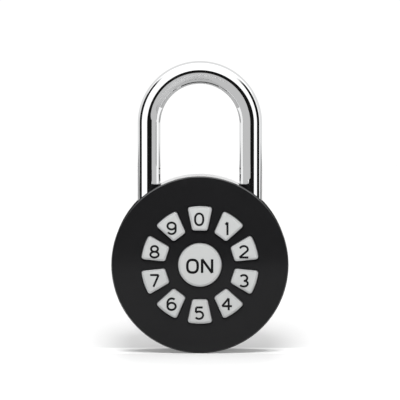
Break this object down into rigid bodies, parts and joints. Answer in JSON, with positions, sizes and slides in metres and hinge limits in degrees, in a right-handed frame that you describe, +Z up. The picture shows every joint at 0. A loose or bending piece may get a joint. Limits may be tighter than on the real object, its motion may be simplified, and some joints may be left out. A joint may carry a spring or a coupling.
{
  "type": "combination padlock",
  "caption": "Round black padlock opened by a code on wedge-shaped keys round a start key, with a round-bar steel shackle and a coin-slot battery cap on the back.",
  "frame": {"origin": "underside of the shackle's crown at mid-depth, where the closed lock hangs from a hasp", "axes": "+X to the right seen from the keypad, +Y from the keypad to the back cover, +Z up from the body to the bow"},
  "size_m": [0.054, 0.0251, 0.089],
  "materials": {
    "black_case": "satin black, fine and smooth",
    "polished_steel": "polished bright",
    "silver_key": "silver paint with a satin lacquer",
    "rubber": "matt",
    "screw_steel": "plain",
    "brass": "plain",
    "board": "solder-mask green",
    "chip_black": "moulded",
    "ceramic_parts": "ceramic",
    "cast_frame": "as cast",
    "lead_red": "insulated wire"
  },
  "bodies": {
    "case": {"front_case": "black_case", "rear_cover": "black_case", "top_saddle": "polished_steel", "case_gasket": "rubber", "case_screws": "screw_steel", "retainer_pin": "screw_steel", "shackle_spring": "screw_steel", "spring_seat": "brass", "keypad_mat": "rubber", "snap_domes": "screw_steel", "circuit_board": "board", "main_chip": "chip_black", "board_parts": "ceramic_parts", "buzzer": "chip_black", "board_screws": "screw_steel", "lock_frame": "cast_frame", "frame_screws": "screw_steel", "motor_can": "screw_steel", "motor_gearbox": "brass", "motor_leads": "lead_red", "bolt_cover": "screw_steel", "cover_screws": "screw_steel", "battery": "screw_steel", "battery_tray": "chip_black", "contact_minus": "brass", "contact_plus": "brass"},
    "key_0": {"key_0": "silver_key"},
    "key_1": {"key_1": "silver_key"},
    "key_2": {"key_2": "silver_key"},
    "key_3": {"key_3": "silver_key"},
    "key_4": {"key_4": "silver_key"},
    "key_5": {"key_5": "silver_key"},
    "key_6": {"key_6": "silver_key"},
    "key_7": {"key_7": "silver_key"},
    "key_8": {"key_8": "silver_key"},
    "key_9": {"key_9": "silver_key"},
    "key_start": {"key_start": "silver_key"},
    "shackle": {"shackle": "polished_steel"},
    "pinion": {"pinion": "brass"},
    "latch_bolt": {"latch_bolt": "screw_steel"},
    "cap_seal": {"cap_seal": "rubber"},
    "battery_cap": {"battery_cap": "black_case"}
  },
  "joints": [
    {"name": "key_0_press", "type": "slide", "parent": "case", "child": "key_0", "axis": [0, 1, 0], "range_m": [0, 0.0006], "stiffness_N_per_m": 1500},
    {"name": "key_1_press", "type": "slide", "parent": "case", "child": "key_1", "axis": [0, 1, 0], "range_m": [0, 0.0006], "stiffness_N_per_m": 1500},
    {"name": "key_2_press", "type": "slide", "parent": "case", "child": "key_2", "axis": [0, 1, 0], "range_m": [0, 0.0006], "stiffness_N_per_m": 1500},
    {"name": "key_3_press", "type": "slide", "parent": "case", "child": "key_3", "axis": [0, 1, 0], "range_m": [0, 0.0006], "stiffness_N_per_m": 1500},
    {"name": "key_4_press", "type": "slide", "parent": "case", "child": "key_4", "axis": [0, 1, 0], "range_m": [0, 0.0006], "stiffness_N_per_m": 1500},
    {"name": "key_5_press", "type": "slide", "parent": "case", "child": "key_5", "axis": [0, 1, 0], "range_m": [0, 0.0006], "stiffness_N_per_m": 1500},
    {"name": "key_6_press", "type": "slide", "parent": "case", "child": "key_6", "axis": [0, 1, 0], "range_m": [0, 0.0006], "stiffness_N_per_m": 1500},
    {"name": "key_7_press", "type": "slide", "parent": "case", "child": "key_7", "axis": [0, 1, 0], "range_m": [0, 0.0006], "stiffness_N_per_m": 1500},
    {"name": "key_8_press", "type": "slide", "parent": "case", "child": "key_8", "axis": [0, 1, 0], "range_m": [0, 0.0006], "stiffness_N_per_m": 1500},
    {"name": "key_9_press", "type": "slide", "parent": "case", "child": "key_9", "axis": [0, 1, 0], "range_m": [0, 0.0006], "stiffness_N_per_m": 1500},
    {"name": "key_start_press", "type": "slide", "parent": "case", "child": "key_start", "axis": [0, 1, 0], "range_m": [0, 0.0006], "stiffness_N_per_m": 1500},
    {"name": "shackle_lift", "type": "slide", "parent": "case", "child": "shackle", "axis": [0, 0, 1], "range_m": [0, 0.016], "deforming": ["shackle_spring"]},
    {"name": "pinion_turn", "type": "hinge", "parent": "case", "child": "pinion", "pos_m": [0, 0, -0.04], "axis": [0, 0, -1], "range_deg": [0, 90]},
    {"name": "bolt_throw", "type": "slide", "parent": "case", "child": "latch_bolt", "axis": [1, 0, 0], "range_m": [0, 0.0022]},
    {"name": "cap_rise", "type": "slide", "parent": "case", "child": "cap_seal", "axis": [0, 1, 0], "range_m": [0, 0.0015]},
    {"name": "cap_turn", "type": "hinge", "parent": "cap_seal", "child": "battery_cap", "pos_m": [0, 0.011, -0.0595], "axis": [0, 1, 0], "range_deg": [0, 540]}
  ],
  "couplings": [
    {"joint": "pinion_turn", "follows": "bolt_throw", "rad_per_m": 500},
    {"joint": "cap_rise", "follows": "cap_turn", "m_per_rad": 0.00015915}
  ]
}
